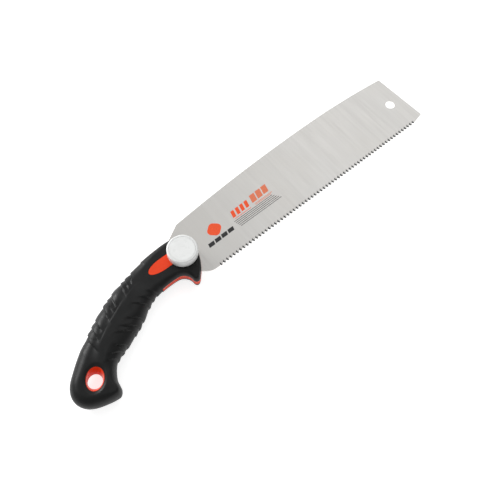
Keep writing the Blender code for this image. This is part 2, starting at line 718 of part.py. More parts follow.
def build_pivot():
    steel("pivot_bush", tube("pivot_bush", BUSH_INNER, BUSH_RADIUS, BUSH_BASE, BUSH_TOP))
    for name, side in (("thrust_washer_front", 1), ("thrust_washer_rear", -1)):
        low, high = sorted((THRUST_BASE * side, (THRUST_BASE + THRUST_THICKNESS) * side))
        steel(name, tube(name, BUSH_RADIUS + TURN_GAP, THRUST_RADIUS, low, high))
    pin = prism("stop_pin", circle(STOP_PIN_RADIUS), -STOP_PIN_REACH, STOP_PIN_REACH)
    steel("stop_pin", pin, (*on_orbit(STOP_PIN_ANGLE), 0))
    nut = steel("clamp_nut", prism("clamp_nut", hexagon(NUT_FLATS), NUT_REAR, NUT_FRONT))
    cut(nut, prism("clamp_nut_bore", circle(SCREW_BORE), NUT_REAR - OVERCUT, NUT_FRONT + OVERCUT))
    profile = [
        (COVER_RADIUS - FIT_GAP, COVER_FACE),
        (COVER_RADIUS, COVER_FACE + FIT_GAP),
        (COVER_RADIUS, COVER_FACE + COVER_THICKNESS),
    ]
    cover = new_object("nut_cover", shaft("nut_cover", profile))
    paint(cover, "orange_nylon", (0.90, 0.12, 0.03), 0.42)


def thread_profile(bottom, top):
    """A round end, then crests and roots up to the plain shank."""
    rows = [(SCREW_RADIUS - 2 * THREAD_DEPTH, bottom)]
    turns = int((top - bottom) / THREAD_PITCH)
    for k in range(turns):
        z = bottom + (k + 0.5) * THREAD_PITCH
        rows += [(SCREW_RADIUS, z), (SCREW_RADIUS - THREAD_DEPTH, z + THREAD_PITCH / 2)]
    return rows


def build_knob_body():
    """The knob: a hollow for the washers below, a pocket for the screw's head and a seat for the cap."""
    bevel = KNOB_BEVEL
    hollow = WASHER_RADIUS + FIT_GAP
    cap_seat = CAP_BASE - FACE_GAP
    profile = [
        (SCREW_BORE, KNOB_CEILING),
        (hollow, KNOB_CEILING),
        (hollow, KNOB_BASE),
        (KNOB_RADIUS - bevel / 2, KNOB_BASE),
        (KNOB_RADIUS, KNOB_BASE + bevel / 2),
        (KNOB_RADIUS, KNOB_TOP - bevel),
        (KNOB_RADIUS - bevel * 0.3, KNOB_TOP - bevel * 0.3),
        (KNOB_RADIUS - bevel, KNOB_TOP),
        (CAP_RADIUS + FACE_GAP, KNOB_TOP),
        (CAP_RADIUS + FACE_GAP, cap_seat),
        (SCREW_BORE, cap_seat),
    ]
    knob = new_object("knob_body", ring("knob_body", profile))
    paint(knob, "white_nylon", (0.86, 0.87, 0.86), 0.40)
    cut(knob, prism("knob_hex_pocket", hexagon(HEX_FLATS + 2 * FACE_GAP), HEX_BASE - FACE_GAP, KNOB_TOP))


def build_knob_cap():
    rim = [(CAP_RADIUS, CAP_BASE), (CAP_RADIUS, KNOB_TOP - FIT_GAP), (CAP_RADIUS - FIT_GAP, KNOB_TOP)]
    cap = new_object("knob_cap", shaft("knob_cap", rim))
    paint(cap, "white_nylon_cap", (0.88, 0.89, 0.88), 0.36)


def build_clamp_screw():
    """A hexagon head in the knob's pocket, a plain shank through the bush and a thread in the nut."""
    screw = steel("clamp_screw", prism("clamp_screw", hexagon(HEX_FLATS), HEX_BASE, HEX_TOP))
    threads = thread_profile(NUT_REAR + THREAD_DEPTH, BUSH_BASE)
    shank = [(SCREW_RADIUS, BUSH_BASE + THREAD_PITCH), (SCREW_RADIUS, (HEX_BASE + HEX_TOP) / 2)]
    join(screw, shaft("clamp_screw_shank", threads + shank))


def build_washers():
    top = WASHER_BASE + WASHER_THICKNESS
    steel("clamp_washer", tube("clamp_washer", SCREW_BORE, WASHER_RADIUS, WASHER_BASE, top))
    low, high = SPRING_BASE, SPRING_BASE + SPRING_HEIGHT
    cone = [
        (SCREW_BORE, high - SPRING_THICKNESS),
        (SPRING_RADIUS, low),
        (SPRING_RADIUS, low + SPRING_THICKNESS),
        (SCREW_BORE, high),
    ]
    steel("spring_washer", ring("spring_washer", cone))


def stand_on_footprint():
    """Moves the saw so that its lowest face lies on Z = 0 and its footprint is centred on the origin."""
    bpy.context.view_layer.update()
    graph = bpy.context.evaluated_depsgraph_get()
    points = []
    for piece in saw.children:
        if not piece.hide_render:
            points += [piece.matrix_world @ v.co for v in piece.evaluated_get(graph).data.vertices]
    low = Vector([min(p[k] for p in points) for k in range(3)])
    high = Vector([max(p[k] for p in points) for k in range(3)])
    saw.location = (-(low.x + high.x) / 2, -(low.y + high.y) / 2, -low.z)


build_blade()
build_front_core()
build_rear_core()
build_skins()
build_shell_screws()
build_pivot()
build_knob_body()
build_knob_cap()
build_clamp_screw()
build_washers()
stand_on_footprint()
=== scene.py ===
"""The looks of the pull saw: fine shells, ribbed rubber, a bevelled blade and their materials.

Shapes are made in the saw's own frame, in metres: the blade's pivot is at the origin, +X runs along the
blade to its tip, -Y is the toothed side and +Z the knob's side. PIVOT then takes each piece to its place.
"""

import json
from math import acos, asin, ceil, cos, pi, radians, sin, sqrt, tan, tau

import bmesh
import bpy
import numpy as np
from mathutils import Matrix, Vector
from mathutils.geometry import delaunay_2d_cdt, tessellate_polygon


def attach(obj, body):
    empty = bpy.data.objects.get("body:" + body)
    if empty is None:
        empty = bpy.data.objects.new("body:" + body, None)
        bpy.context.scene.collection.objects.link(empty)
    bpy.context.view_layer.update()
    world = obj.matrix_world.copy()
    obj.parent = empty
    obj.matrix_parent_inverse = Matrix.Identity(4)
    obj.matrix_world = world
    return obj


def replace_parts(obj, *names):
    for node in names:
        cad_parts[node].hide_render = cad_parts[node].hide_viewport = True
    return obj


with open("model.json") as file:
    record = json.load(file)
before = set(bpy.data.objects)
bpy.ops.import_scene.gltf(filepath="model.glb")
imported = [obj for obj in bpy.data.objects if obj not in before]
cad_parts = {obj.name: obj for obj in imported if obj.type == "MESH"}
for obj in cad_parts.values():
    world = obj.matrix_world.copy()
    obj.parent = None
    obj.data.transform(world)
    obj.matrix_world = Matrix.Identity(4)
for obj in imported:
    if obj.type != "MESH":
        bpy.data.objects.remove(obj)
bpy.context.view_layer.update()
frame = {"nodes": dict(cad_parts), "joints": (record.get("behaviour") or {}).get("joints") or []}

MM = 0.001
PIVOT = Vector(next(j["pos_m"] for j in frame["joints"] if j["name"] == "blade_angle"))

SHARP = radians(32)  # edges that bend more than this are sharp, if a piece has no angle of its own

# Blade
BLADE_LENGTH = 282.6 * MM
BLADE_HALF = 0.45 * MM
TOOTH_PITCH = 3.8 * MM
TOOTH_COUNT = 65  # full teeth, before the one where the plain corner starts
TOOTH_DEPTH = 2.3 * MM
TOOTH_LEAN = 0.38
TOOTH_TIP_Y = -28.0 * MM
FIRST_TOOTH_X = 20.6 * MM
TOOTH_SHEAR = 1.5 * MM  # how far the filed flanks slant along the blade between its two faces
TIP_SHEAR = 0.45  # the share of that slant at a tooth's tip
TOOTH_FILE = 1.1 * MM  # how much deeper the front face's gullets are
LAND_RISE = 0.4 * MM  # of the point where the plain corner at the tip starts
HEEL = (12.0 * MM, -27.2 * MM)
HEEL_END = (-1.5 * MM, -17.0 * MM)
SHOULDER = (14.7 * MM, 29.9 * MM)
SHOULDER_END = (-3.2 * MM, 19.7 * MM)
BACK_CREST = (BLADE_LENGTH - 96.6 * MM, 38.0 * MM)
TIP_TOP = (BLADE_LENGTH - 3.1 * MM, 33.0 * MM)
TIP_FOOT = (BLADE_LENGTH - 0.06 * MM, -24.6 * MM)
TIP_HOLE = (BLADE_LENGTH - 16.3 * MM, 3.2 * MM)
TIP_HOLE_RADIUS = 4.75 * MM
TAIL_RADIUS = 14.0 * MM
TAIL_ARC = (radians(125), radians(245))
BACK_STEPS = 24
SHOULDER_RADIUS = 3.5 * MM
HEEL_RADIUS = 14.0 * MM
TIP_RADIUS = 1.8 * MM
FOOT_RADIUS = 0.6 * MM
STOP_ORBIT = 9.6 * MM
STOP_WIDTH = 1.6 * MM
STOP_ARC = (radians(120), radians(225))
BLADE_PATCH = 9.0 * MM
BLADE_SHARP = radians(20)
FLANK_NORMAL = 0.97  # a filed flank's normal has a smaller z than this

# Handle
HEAD_HALF = 8.5 * MM
GRIP_HALF = 12.5 * MM
BUTT_HALF = 9.8 * MM
HEAD_END_X = -38.0 * MM
GRIP_START_X = -66.0 * MM
GRIP_END_X = -94.0 * MM
BUTT_START_X = -122.0 * MM
SKIN_THICKNESS = 2.0 * MM
CORE_INSET = 2.4 * MM
RIM_HALF = 2.5 * MM
RIM_END_X = -33.0 * MM
RIM_SEAM = 0.08 * MM  # between the rubber and the bare rim
PARTING_GAP = 0.05 * MM
SLOT_HALF = 0.6 * MM
SLOT_REACH = 36.0 * MM
BOSS_RADIUS = 9.5 * MM
WINDOW_CENTRE = (-20.0 * MM, 2.6 * MM)
WINDOW_NOSE = 15.0 * MM
WINDOW_HALF = 5.6 * MM
WINDOW_FRONT_X = -3.0 * MM
WINDOW_SEAM = 0.25 * MM
EYE = (-124.7 * MM, -44.2 * MM)
EYE_THROAT = 6.3 * MM
EYE_MOUTH = (9.8 * MM, 7.2 * MM)  # half length and half width of its oval mouth
EYE_SHIFT = (0.9 * MM, -0.75 * MM)  # of the front mouth from the throat; the rear mouth goes the other way
EYE_TURN = radians(50)  # from +X to the oval's long axis
EYE_WALL = 0.45 * MM
EYE_SINK = 1.2 * MM  # of the orange mouth below the grip's face
EYE_DISH = (3.0 * MM, 0.84 * MM)  # width and depth of the rubber's slope into the hanging hole
EYE_FLARE = 1.5  # power of the hole's widening towards its mouth
EYE_LEVELS = 12
EYE_SIDES = 96
LEAST_ROUNDING = 0.4 * MM
SKIN_SHARP = radians(40)

# Handle outline in mm, counter-clockwise from the front of the head: x, y and the edge's rounding.
OUTLINE = [
    (13.4, 1.0, 3.0), (12.0, 8.6, 3.0), (7.4, 15.4, 3.5), (-0.8, 19.3, 4.5), (-20.0, 19.6, 6.0),
    (-38.0, 17.7, 8.5), (-58.0, 14.0, 11.5), (-78.0, 7.7, 12.0), (-98.0, -2.0, 12.0), (-118.0, -14.0, 11.5),
    (-134.0, -26.2, 10.0), (-143.4, -35.2, 9.0), (-147.3, -43.6, 8.5), (-146.9, -51.5, 8.5),
    (-143.0, -58.2, 8.5), (-136.8, -62.6, 8.0), (-128.0, -65.8, 7.0), (-119.7, -67.45, 4.8),
    (-114.9, -67.2, 3.6), (-111.7, -64.0, 3.6), (-110.8, -60.0, 4.5), (-109.9, -55.4, 6.0),
    (-105.6, -47.9, 8.0), (-98.4, -42.2, 10.5), (-84.8, -37.0, 12.0), (-70.6, -31.4, 12.0),
    (-57.5, -24.1, 11.0), (-46.6, -18.0, 9.0), (-36.2, -14.9, 7.0), (-22.0, -13.9, 4.5),
    (-13.2, -14.9, 3.4), (-9.0, -18.5, 3.0), (-7.5, -22.5, 2.7), (-7.3, -25.4, 2.6), (-6.2, -27.5, 2.6),
    (-4.2, -28.3, 2.6), (-2.1, -27.6, 2.6), (1.0, -24.6, 3.0), (5.2, -19.8, 3.2), (9.5, -13.0, 3.2),
    (12.4, -6.2, 3.0),
]
SKIN_STEP = 0.65 * MM
SKIN_LEVELS = 18
CORE_STEP = 1.8 * MM
CORE_LEVELS = 6
CORE_PATCH = 6.0 * MM
CORE_LIFT = radians(6)  # from the rim's height to the next loop, where the rubber covers the core

# Ribs: the middle line of the grip in mm, and where the ribs meet its edges
SPINE = [
    (-20.0, 3.0), (-48.0, -2.5), (-66.0, -9.0), (-84.0, -17.0), (-100.0, -26.0), (-112.0, -35.5),
    (-126.0, -48.0),
]
RIB_SLANT = tan(radians(33))
RIB_STEP = 6.2 * MM
RIB_TAIL = 11.0 * MM  # how far the rubber takes to rise again after the last rib of a group
RIB_DROP = 0.7 * MM
RIB_DEPTH = 1.35 * MM
RIB_REACH = 18.5 * MM  # from the spine to the edge
RIB_GROUPS = 3
RIBS_IN_GROUP = 3
UPPER_RIBS = (-46.8 * MM, -24.6 * MM)  # first rib's x at the edge, and the step between groups
LOWER_RIBS = (-39.2 * MM, -23.8 * MM)
RIB_SHARES = (0.26, 0.55)  # of the reach: where a rib fades in, and where it is full
RIB_LENGTHENING = 0.08  # of the reach: how much nearer the spine each rib of a group starts than the last
RIB_CURVE = 0.8  # power of the rubber's rise behind a rib
CREASE = (0.20, 0.27, 0.3 * MM)  # the upper edge of the smooth middle band: from, to, depth
CREASE_SPAN = (24.0 * MM, 34.0 * MM, 78.0 * MM, 96.0 * MM)  # along the spine

# Pivot and knob
SCREW_BORE = 3.3 * MM
BUSH_BORE = 5.1 * MM
THRUST_SEAT = (7.6 * MM, 1.15 * MM)
BUSH_TOP = 5.1 * MM
BUSH_BASE = 1.7 * MM
NUT_FLATS = 10.2 * MM
NUT_FRONT = 3.3 * MM
NUT_REAR = 7.4 * MM
COVER_RADIUS = 8.0 * MM
COVER_THICKNESS = 1.0 * MM
COVER_LIP = 0.3 * MM
KNOB_RADIUS = 13.9 * MM
KNOB_BASE = 8.9 * MM
KNOB_TOP = 17.6 * MM
KNOB_ROUND = 1.3 * MM
KNOB_FOOT = 0.4 * MM  # rounding of the lower edge
KNOB_HOLLOW = (9.3 * MM, 11.0 * MM)  # radius and ceiling
KNOB_WEB = 1.5 * MM  # from the hollow's ceiling to the pocket for the screw's head
CAP_RADIUS = 11.6 * MM
CAP_BASE = 16.3 * MM
CAP_SEAM = 0.12 * MM
CAP_EDGE = 0.25 * MM
CAP_DISH = 0.12 * MM
ROUND_SIDES = 96
GRID_CLEARANCE = 0.55  # of a patch's step, between its grid and its borders

SHELL_SCREWS = [(-41.5, 0.5), (-58.0, -5.0), (-78.0, -14.5), (-99.0, -24.0), (-136.0, -53.5)]  # mm
SHELL_SCREW_RADIUS = 1.4 * MM
SHELL_HEAD_RADIUS = 2.7 * MM
SHELL_HEAD_HEIGHT = 2.0 * MM
SHELL_HEAD_SINK = 1.5 * MM
SHELL_SCREW_BITE = 6.0 * MM
SHELL_SCREW_PITCH = 0.9 * MM
SCREW_SIDES = 40
FIT_GAP = 0.3 * MM
OVERCUT = 1.0 * MM

# Prints on the blade
PRINT_FLOAT = 0.004 * MM
PRINT_THICKNESS = 0.02 * MM
PRINT_SLANT = tan(radians(14))

# Stage, in the frame's own axes
FLOOR_HALF = 6.0
FLOOR_DROP = 0.3 * MM
LENS = 50.4
CAMERA_PLACE = (-0.13936, -0.23310, 0.56886)  # from the pivot
CAMERA_RIGHT = (0.76595, -0.64221, 0.02964)
CAMERA_UP = (0.56401, 0.69338, 0.44845)
CAMERA_BACK = (-0.30855, -0.32678, 0.89331)


# ---------------------------------------------------------------- material nodes


class Shading:
    """One material: its nodes, made and linked by short calls."""

    def __init__(self, name):
        self.material = bpy.data.materials.new(name)
        self.material.use_nodes = True
        self.tree = self.material.node_tree
        self.shader = self.tree.nodes["Principled BSDF"]
        self.coordinates = self.node("ShaderNodeTexCoord")

    def node(self, kind, **settings):
        made = self.tree.nodes.new(kind)
        for key, value in settings.items():
            setattr(made, key, value)
        return made

    def link(self, source, target):
        self.tree.links.new(source, target)

    def constant(self, **values):
        """Values of the shader's own sockets, by name with _ for a space."""
        for key, value in values.items():
            self.shader.inputs[key.replace("_", " ")].default_value = value

    def stretched(self, scale):
        """Object coordinates, scaled along each axis."""
        mapping = self.node("ShaderNodeMapping")
        mapping.inputs["Scale"].default_value = scale
        self.link(self.coordinates.outputs["Object"], mapping.inputs["Vector"])
        return mapping.outputs["Vector"]

    def noise(self, scale, detail=4.0, roughness=0.5, stretch=(1.0, 1.0, 1.0)):
        made = self.node("ShaderNodeTexNoise")
        made.inputs["Scale"].default_value = scale
        made.inputs["Detail"].default_value = detail
        made.inputs["Roughness"].default_value = roughness
        self.link(self.stretched(stretch), made.inputs["Vector"])
        return made.outputs["Fac"]

    def ranged(self, source, low, high, start=0.3, end=0.7):
        """The source's values between start and end, spread over low to high."""
        made = self.node("ShaderNodeMapRange")
        made.inputs["From Min"].default_value = start
        made.inputs["From Max"].default_value = end
        made.inputs["To Min"].default_value = low
        made.inputs["To Max"].default_value = high
        self.link(source, made.inputs["Value"])
        return made.outputs["Result"]

    def ramp(self, source, *stops):
        """A colour ramp of (place, colour) stops."""
        made = self.node("ShaderNodeValToRGB")
        elements = made.color_ramp.elements
        while len(elements) < len(stops):
            elements.new(0.5)
        for element, (place, colour) in zip(elements, stops):
            element.position = place
            element.color = (*colour, 1.0)
        self.link(source, made.inputs["Fac"])
        return made.outputs["Color"]

    def mix(self, share, first, second):
        made = self.node("ShaderNodeMix", data_type="RGBA")
        self.link(share, made.inputs["Factor"])
        self.link(first, made.inputs["A"])
        self.link(second, made.inputs["B"])
        return made.outputs["Result"]

    def bump(self, source, distance, strength, base=None):
        made = self.node("ShaderNodeBump")
        made.inputs["Distance"].default_value = distance
        made.inputs["Strength"].default_value = strength
        self.link(source, made.inputs["Height"])
        if base is not None:
            self.link(base, made.inputs["Normal"])
        return made.outputs["Normal"]

    def finish(self, colour, roughness, normal=None):
        self.link(colour, self.shader.inputs["Base Color"])
        self.link(roughness, self.shader.inputs["Roughness"])
        if normal is not None:
            self.link(normal, self.shader.inputs["Normal"])
        return self.material


def tones(colour, spread):
    """Two colours, a little darker and a little lighter."""
    return [tuple(min(1.0, c * k) for c in colour) for k in (1 - spread, 1 + spread)]


def rubber_material():
    """Soft black rubber: a fine moulded grain, faint mottling and rubbed, glossier patches."""
    s = Shading("rubber")
    dark, light = (0.0062, 0.0066, 0.0068), (0.0118, 0.0124, 0.0124)
    colour = s.ramp(s.noise(55, 5, 0.6), (0.3, dark), (0.7, light))
    roughness = s.ranged(s.noise(90, 4, 0.6), 0.36, 0.50)
    grain = s.bump(s.noise(2600, 2, 0.5), 0.00004, 0.35)
    normal = s.bump(s.noise(240, 3, 0.5), 0.00008, 0.25, grain)
    s.constant(Specular_IOR_Level=0.22)
    return s.finish(colour, roughness, normal)


def orange_material():
    """Orange-red nylon with faint flow marks and a light satin gloss."""
    s = Shading("orange_nylon")
    low, high = tones((0.84, 0.055, 0.009), 0.06)
    colour = s.ramp(s.noise(70, 4, 0.55, (1.0, 2.4, 1.0)), (0.3, low), (0.7, high))
    roughness = s.ranged(s.noise(160, 3), 0.30, 0.44)
    normal = s.bump(s.noise(1800, 2), 0.00003, 0.3)
    s.constant(Specular_IOR_Level=0.3, Subsurface_Weight=0.06, Subsurface_Radius=(0.002, 0.0006, 0.0003))
    return s.finish(colour, roughness, normal)


def white_material(name, tone):
    """White nylon, faintly mottled."""
    s = Shading(name)
    low, high = tones(tone, 0.025)
    colour = s.ramp(s.noise(120, 4, 0.55), (0.3, low), (0.7, high))
    roughness = s.ranged(s.noise(260, 3), 0.24, 0.38)
    normal = s.bump(s.noise(1500, 2), 0.00003, 0.25)
    s.constant(Subsurface_Weight=0.08, Subsurface_Radius=(0.002, 0.002, 0.002))
    return s.finish(colour, roughness, normal)


def saw_steel_material():
    """Satin saw steel: fine grinding lines across the blade over broad soft bands, with a painted reflection
    that makes it lighter near the tip.
    """
    s = Shading("saw_steel")
    bands = s.ramp(
        s.noise(9, 1, 0.4, (1.0, 0.55, 1.0)), (0.30, (0.575, 0.563, 0.540)), (0.70, (0.640, 0.628, 0.605))
    )
    warm = s.ramp(
        s.noise(22, 2, 0.5, (1.0, 0.6, 1.0)), (0.35, (0.595, 0.578, 0.552)), (0.65, (0.610, 0.603, 0.590))
    )
    along = s.node("ShaderNodeSeparateXYZ")
    s.link(s.coordinates.outputs["Object"], along.inputs["Vector"])
    share = s.ranged(along.outputs["X"], 0.25, 0.5, 0.0, BLADE_LENGTH)
    base = s.mix(share, bands, warm)
    # painted reflection: near the tip the colour is mixed towards a pale steel, for the brighter light the
    # blade reflects there
    lighter = s.ranged(along.outputs["X"], 0.0, 0.55, BLADE_LENGTH * 0.55, BLADE_LENGTH)
    pale = s.node("ShaderNodeRGB")
    pale.outputs["Color"].default_value = (0.68, 0.668, 0.645, 1.0)
    lines = s.noise(900, 3, 0.6, (1.0, 0.025, 1.0))
    roughness = s.ranged(lines, 0.32, 0.42, 0.35, 0.65)
    normal = s.bump(lines, 0.000008, 0.18)
    s.constant(Metallic=1.0)
    return s.finish(s.mix(lighter, base, pale.outputs["Color"]), roughness, normal)


def tempered_and_shaded_material():
    """The filed flanks of the teeth: a darker, bluish-grey steel, partly the hardened teeth's own tone and
    partly painted shade for the dark reflections that these slanted facets show.
    """
    s = Shading("tempered_and_shaded_steel")
    colour = s.ramp(s.noise(420, 3), (0.3, (0.115, 0.117, 0.122)), (0.7, (0.185, 0.187, 0.19)))
    roughness = s.ranged(s.noise(900, 2, 0.5, (0.2, 1.0, 1.0)), 0.34, 0.5)
    s.constant(Metallic=0.9)
    return s.finish(colour, roughness, s.bump(s.noise(1600, 2, 0.5, (0.1, 1.0, 1.0)), 0.00001, 0.4))


def zinc_material():
    """Bright zinc plating with fine turning marks."""
    s = Shading("zinc_steel")
    colour = s.ramp(s.noise(500, 3), (0.3, (0.55, 0.56, 0.57)), (0.7, (0.66, 0.665, 0.66)))
    roughness = s.ranged(s.noise(1200, 3, 0.5, (1.0, 1.0, 0.1)), 0.22, 0.36)
    s.constant(Metallic=1.0)
    return s.finish(colour, roughness, s.bump(s.noise(1500, 2), 0.00001, 0.3))


def ink_material(name, tone):
    """Screen-printed ink: a matt film, a little thin in places."""
    s = Shading(name)
    low, high = tones(tone, 0.10)
    colour = s.ramp(s.noise(1500, 3, 0.6), (0.35, low), (0.65, high))
    roughness = s.ranged(s.noise(900, 2), 0.42, 0.55)
    return s.finish(colour, roughness, s.bump(s.noise(2500, 2), 0.000008, 0.3))


RUBBER = rubber_material()
ORANGE = orange_material()
WHITE = white_material("white_nylon", (0.84, 0.85, 0.84))
# painted highlight: the cap's white nylon is a little lighter than the knob's, for the brighter light on the
# knob's face
WHITE_CAP_PAINTED_LIGHTER = white_material("white_nylon_cap", (0.88, 0.89, 0.88))
SAW_STEEL = saw_steel_material()
# the teeth's darker steel: partly their own hardened tone, partly painted shade on the slanted flanks
TEMPERED_AND_SHADED = tempered_and_shaded_material()
ZINC = zinc_material()
INK_ORANGE = ink_material("ink_orange", (0.90, 0.085, 0.012))
INK_PALE = ink_material("ink_pale_orange", (0.78, 0.20, 0.095))
INK_DARK = ink_material("ink_dark", (0.012, 0.012, 0.013))
INK_GREY = ink_material("ink_grey", (0.05, 0.047, 0.045))


# ---------------------------------------------------------------- meshes


def mesh_of(name, vertices, faces, angle=SHARP):
    """A closed mesh with its faces pointing out, smooth below the given angle."""
    mesh = bpy.data.meshes.new(name)
    mesh.from_pydata([tuple(v) for v in vertices], [], [tuple(int(i) for i in f) for f in faces])
    body = bmesh.new()
    body.from_mesh(mesh)
    bmesh.ops.recalc_face_normals(body, faces=body.faces)
    body.to_mesh(mesh)
    body.free()
    mesh.shade_smooth()
    mesh.set_sharp_from_angle(angle=angle)
    return mesh


def piece(name, mesh, body, slot, *materials):
    """An object at the pivot that rides on a body."""
    made = bpy.data.objects.new(name, mesh)
    bpy.context.scene.collection.objects.link(made)
    made.location = PIVOT
    mesh.materials.clear()
    for material in materials:
        mesh.materials.append(material)
    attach(made, body)
    return made


def arc(radius, start, end, count, centre=(0.0, 0.0)):
    turns = [start + (end - start) * i / count for i in range(count + 1)]
    return [(centre[0] + radius * cos(a), centre[1] + radius * sin(a)) for a in turns]


def circle(radius, centre=(0.0, 0.0), sides=ROUND_SIDES):
    return arc(radius, 0, tau, sides, centre)[:-1]


def hexagon(flats):
    return arc(flats / sqrt(3), 0, tau, 6)[:-1]


def rounded(corners, steps=8):
    """A closed outline from corners (x, y, radius). A corner of radius 0 stays sharp."""
    points = []
    for i, (x, y, radius) in enumerate(corners):
        here = Vector((x, y))
        if radius == 0:
            points.append((x, y))
            continue
        back = (Vector(corners[i - 1][:2]) - here).normalized()
        on = (Vector(corners[(i + 1) % len(corners)][:2]) - here).normalized()
        half = acos(back.dot(on)) / 2
        centre = here + (back + on).normalized() * (radius / sin(half))
        first = here + back * (radius / tan(half)) - centre
        last = here + on * (radius / tan(half)) - centre
        turn = first.angle_signed(last)
        for k in range(steps + 1):
            points.append(tuple(centre + Matrix.Rotation(-turn * k / steps, 2) @ first))
    return points


def stacked(name, rings):
    """A solid through rings of points, one above the other, with flat ends."""
    count = len(rings[0])
    vertices = [point for ring in rings for point in ring]
    last = count * (len(rings) - 1)
    faces = [list(range(count)), list(range(last, last + count))]
    for low in range(0, last, count):
        for i in range(count):
            j = (i + 1) % count
            faces.append([low + i, low + j, low + count + j, low + count + i])
    return mesh_of(name, vertices, faces)


def prism(name, outline, bottom, top):
    return stacked(name, [[(x, y, z) for x, y in outline] for z in (bottom, top)])


def shaft(name, profile, centre=(0.0, 0.0), sides=ROUND_SIDES):
    """A solid round bar along Z from its (radius, z) steps, bottom to top."""
    return stacked(name, [[(x, y, z) for x, y in circle(r, centre, sides)] for r, z in profile])


def ring(name, profile):
    """A solid of revolution about Z from a closed (radius, z) profile that stays off the axis."""
    sides = len(profile)
    turns = [tau * a / ROUND_SIDES for a in range(ROUND_SIDES)]
    vertices = [(r * cos(a), r * sin(a), z) for a in turns for r, z in profile]
    faces = []
    for a in range(ROUND_SIDES):
        here, there = a * sides, (a + 1) % ROUND_SIDES * sides
        for k in range(sides):
            on = (k + 1) % sides
            faces.append([here + k, there + k, there + on, here + on])
    return mesh_of(name, vertices, faces)


def applied(mesh, *steps):
    """The mesh after Booleans with other meshes, each given as (operation, mesh)."""
    target = bpy.data.objects.new("target", mesh)
    bpy.context.scene.collection.objects.link(target)
    tools = []
    for operation, other in steps:
        tool = bpy.data.objects.new("tool", other)
        bpy.context.scene.collection.objects.link(tool)
        tools.append(tool)
        modifier = target.modifiers.new("boolean", "BOOLEAN")
        modifier.operation = operation
        modifier.solver = "MANIFOLD"
        modifier.object = tool
    bpy.context.view_layer.update()
    graph = bpy.context.evaluated_depsgraph_get()
    made = bpy.data.meshes.new_from_object(target.evaluated_get(graph))
    made.name = mesh.name
    for helper in [target, *tools]:
        bpy.data.objects.remove(helper, do_unlink=True)
    made.shade_smooth()
    made.set_sharp_from_angle(angle=SHARP)
    return made


def within(points, polygon):
    """Which of the points lie inside the polygon."""
    x, y = points[:, 0], points[:, 1]
    hit = np.zeros(len(points), bool)
    for (ax, ay), (bx, by) in zip(polygon, np.roll(polygon, 1, axis=0)):
        if ay == by:
            continue
        crosses = ((ay > y) != (by > y)) & (x < (bx - ax) * (y - ay) / (by - ay) + ax)
        hit ^= crosses
    return hit


def nearest(points, others):
    """Each point's distance to the nearest of the others."""
    found = np.full(len(points), np.inf)
    for other in others:
        found = np.minimum(found, np.hypot(*(points - other).T))
    return found


def patch(border, holes, step):
    """Points and triangles that fill the border, left open at the holes. The border's points come first, then
    the holes' and then a grid's."""
    loops = [np.array(loop)[:, :2] for loop in (border, *holes)]
    low, high = loops[0].min(0), loops[0].max(0)
    columns = np.arange(low[0] + step / 2, high[0], step)
    rows = np.arange(low[1] + step / 2, high[1], step * sqrt(3) / 2)
    x, y = np.meshgrid(columns, rows)
    x[1::2] += step / 2
    grid = np.column_stack([x.ravel(), y.ravel()])
    kept = within(grid, loops[0]) & (nearest(grid, np.concatenate(loops)) > step * GRID_CLEARANCE)
    for hole in loops[1:]:
        kept &= ~within(grid, hole)
    points = np.concatenate([*loops, grid[kept]])
    rims = []
    start = 0
    for loop in loops:
        count = len(loop)
        rims += [(start + i, start + (i + 1) % count) for i in range(count)]
        start += count
    flat, _, faces, *_ = delaunay_2d_cdt([Vector(p) for p in points], rims, [], 0, 1e-9)
    if len(flat) != len(points):
        raise ValueError(f"a border crosses itself: {len(points)} points became {len(flat)}")
    faces = np.array(faces)
    centres = points[faces].mean(axis=1)
    inside = within(centres, loops[0])
    for hole in loops[1:]:
        inside &= ~within(centres, hole)
    return points, faces[inside]


# ---------------------------------------------------------------- the handle's surface


def smooth(low, high, value):
    """0 before low, 1 after high, and a smooth step between them."""
    t = np.clip((value - low) / (high - low), 0.0, 1.0)
    return t * t * (3 - 2 * t)


def half_thickness(x):
    swell = (GRIP_HALF - HEAD_HALF) * smooth(-HEAD_END_X, -GRIP_START_X, -x)
    return HEAD_HALF + swell - (GRIP_HALF - BUTT_HALF) * smooth(-GRIP_END_X, -BUTT_START_X, -x)


def smooth_outline(step):
    """Points (x, y, rounding) along a closed centripetal Catmull-Rom curve through OUTLINE, in metres."""
    control = [Vector(p) * MM for p in OUTLINE]
    count = len(control)
    points = []
    for i in range(count):
        p0, p1, p2, p3 = (control[(i + k) % count] for k in (-1, 0, 1, 2))
        t1 = (p1 - p0).xy.length ** 0.5
        t2 = t1 + (p2 - p1).xy.length ** 0.5
        t3 = t2 + (p3 - p2).xy.length ** 0.5
        pieces = max(1, ceil((p2 - p1).xy.length / step))
        for k in range(pieces):
            t = t1 + (t2 - t1) * k / pieces
            a1 = p0.lerp(p1, t / t1)
            a2 = p1.lerp(p2, (t - t1) / (t2 - t1))
            a3 = p2.lerp(p3, (t - t2) / (t3 - t2))
            b1 = a1.lerp(a2, t / t2)
            b2 = a2.lerp(a3, (t - t1) / (t3 - t1))
            points.append(b1.lerp(b2, (t - t1) / (t2 - t1)))
    return np.array(points)


